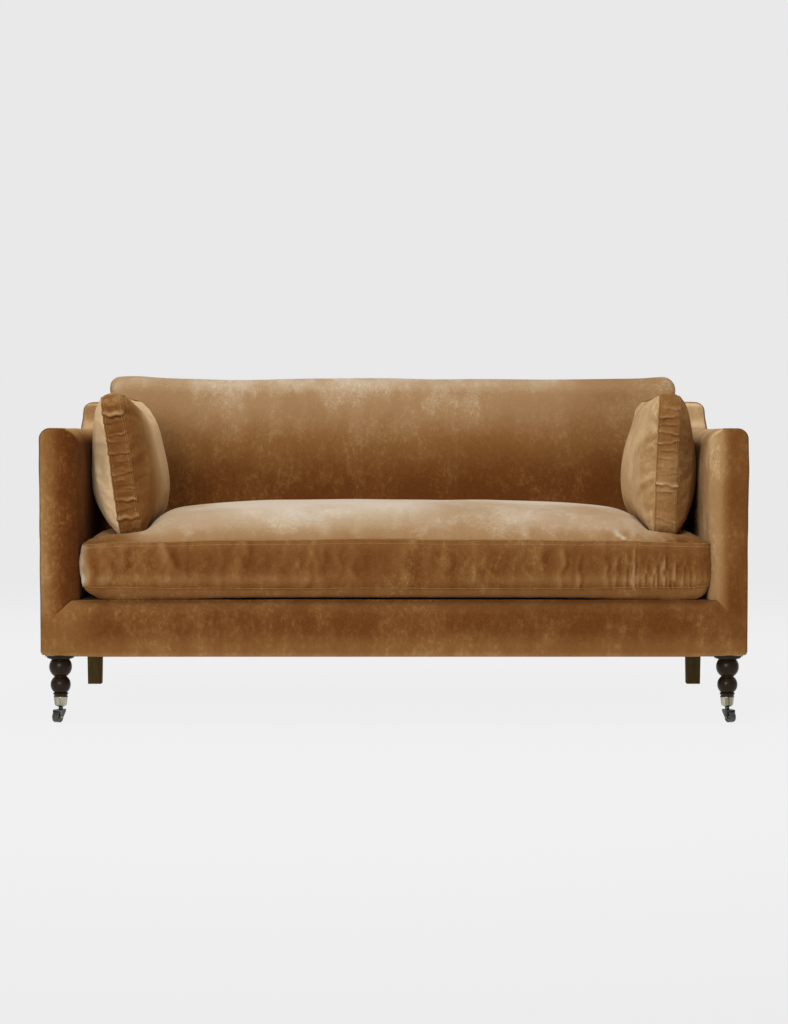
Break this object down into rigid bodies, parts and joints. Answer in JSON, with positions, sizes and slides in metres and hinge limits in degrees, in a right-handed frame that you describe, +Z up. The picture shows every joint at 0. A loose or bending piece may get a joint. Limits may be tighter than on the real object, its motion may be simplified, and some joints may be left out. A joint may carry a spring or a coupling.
{
  "type": "tuxedo sofa",
  "caption": "Velvet sofa with low square arms, a raised tight back, a bench seat cushion, boxed side cushions, turned castor legs in front and raked legs behind.",
  "frame": {"origin": "on the floor, under the middle of the sofa's outer box", "axes": "+X to the sofa's right as seen from the front, +Y from front to back, +Z up"},
  "size_m": [1.72, 0.9, 0.85],
  "materials": {
    "velvet": "crushed velvet, warm tan to tobacco brown",
    "cushion_velvet": "crushed velvet, warm tan, lighter where the pile lies flat",
    "dark_wood": "satin",
    "frame_timber": "matte",
    "spring_steel": "satin",
    "satin_nickel": "satin",
    "aged_iron": "satin",
    "lining_cloth": "matte",
    "hessian": "matte"
  },
  "bodies": {
    "sofa_frame": {"front_post_left": "frame_timber", "front_post_right": "frame_timber", "arm_board_left": "frame_timber", "arm_board_right": "frame_timber", "side_rail_left": "frame_timber", "side_rail_right": "frame_timber", "arm_tack_rail_left": "frame_timber", "arm_tack_rail_right": "frame_timber", "front_corner_block_left": "frame_timber", "front_corner_block_right": "frame_timber", "rear_corner_block_left": "frame_timber", "rear_corner_block_right": "frame_timber", "front_rail": "frame_timber", "back_rail": "frame_timber", "seat_stretcher": "frame_timber", "back_top_rail": "frame_timber", "back_tack_rail": "frame_timber", "back_stile": "frame_timber", "seat_spring_1": "spring_steel", "seat_spring_2": "spring_steel", "seat_spring_3": "spring_steel", "seat_spring_4": "spring_steel", "seat_spring_5": "spring_steel", "seat_spring_6": "spring_steel", "seat_spring_7": "spring_steel", "seat_spring_8": "spring_steel", "tie_wire_front": "spring_steel", "tie_wire_rear": "spring_steel", "leg_bolt_left": "spring_steel", "leg_bolt_right": "spring_steel", "arm_pad_left": "velvet", "arm_pad_right": "velvet", "outside_arm_panel_left": "velvet", "outside_arm_panel_right": "velvet", "front_border": "velvet", "inside_back": "velvet", "outside_back_panel": "velvet", "rear_post_and_leg_left": "dark_wood", "rear_post_and_leg_right": "dark_wood", "front_leg_left": "dark_wood", "front_leg_right": "dark_wood", "castor_cup_left": "satin_nickel", "castor_cup_right": "satin_nickel", "castor_stem_left": "aged_iron", "castor_stem_right": "aged_iron", "lining_cover": "lining_cloth", "seat_deck": "hessian"},
    "castor_swivel_left": {"castor_horn_left": "aged_iron", "castor_axle_left": "satin_nickel"},
    "castor_wheel_left": {"castor_wheel_left": "aged_iron"},
    "castor_swivel_right": {"castor_horn_right": "aged_iron", "castor_axle_right": "satin_nickel"},
    "castor_wheel_right": {"castor_wheel_right": "aged_iron"},
    "seat_cushion": {"seat_cushion": "cushion_velvet"},
    "side_cushion_left": {"side_cushion_left": "cushion_velvet"},
    "side_cushion_right": {"side_cushion_right": "cushion_velvet"}
  },
  "joints": [
    {"name": "castor_swivel_turn_left", "type": "hinge", "parent": "sofa_frame", "child": "castor_swivel_left", "pos_m": [-0.8195, -0.405, 0.03], "axis": [0, 0, 1], "continuous": true},
    {"name": "castor_wheel_roll_left", "type": "hinge", "parent": "castor_swivel_left", "child": "castor_wheel_left", "pos_m": [-0.82542, -0.41769, 0.0135], "axis": [0.9063, -0.4226, 0], "continuous": true},
    {"name": "castor_swivel_turn_right", "type": "hinge", "parent": "sofa_frame", "child": "castor_swivel_right", "pos_m": [0.8195, -0.405, 0.03], "axis": [0, 0, 1], "continuous": true},
    {"name": "castor_wheel_roll_right", "type": "hinge", "parent": "castor_swivel_right", "child": "castor_wheel_right", "pos_m": [0.82542, -0.41769, 0.0135], "axis": [0.9063, 0.4226, 0], "continuous": true},
    {"name": "seat_cushion_lift", "type": "slide", "parent": "sofa_frame", "child": "seat_cushion", "axis": [0, 0, 1], "range_m": [0, 0.45]},
    {"name": "side_cushion_lift_left", "type": "slide", "parent": "seat_cushion", "child": "side_cushion_left", "axis": [0, 0, 1], "range_m": [0, 0.3]},
    {"name": "side_cushion_lift_right", "type": "slide", "parent": "seat_cushion", "child": "side_cushion_right", "axis": [0, 0, 1], "range_m": [0, 0.3]}
  ]
}
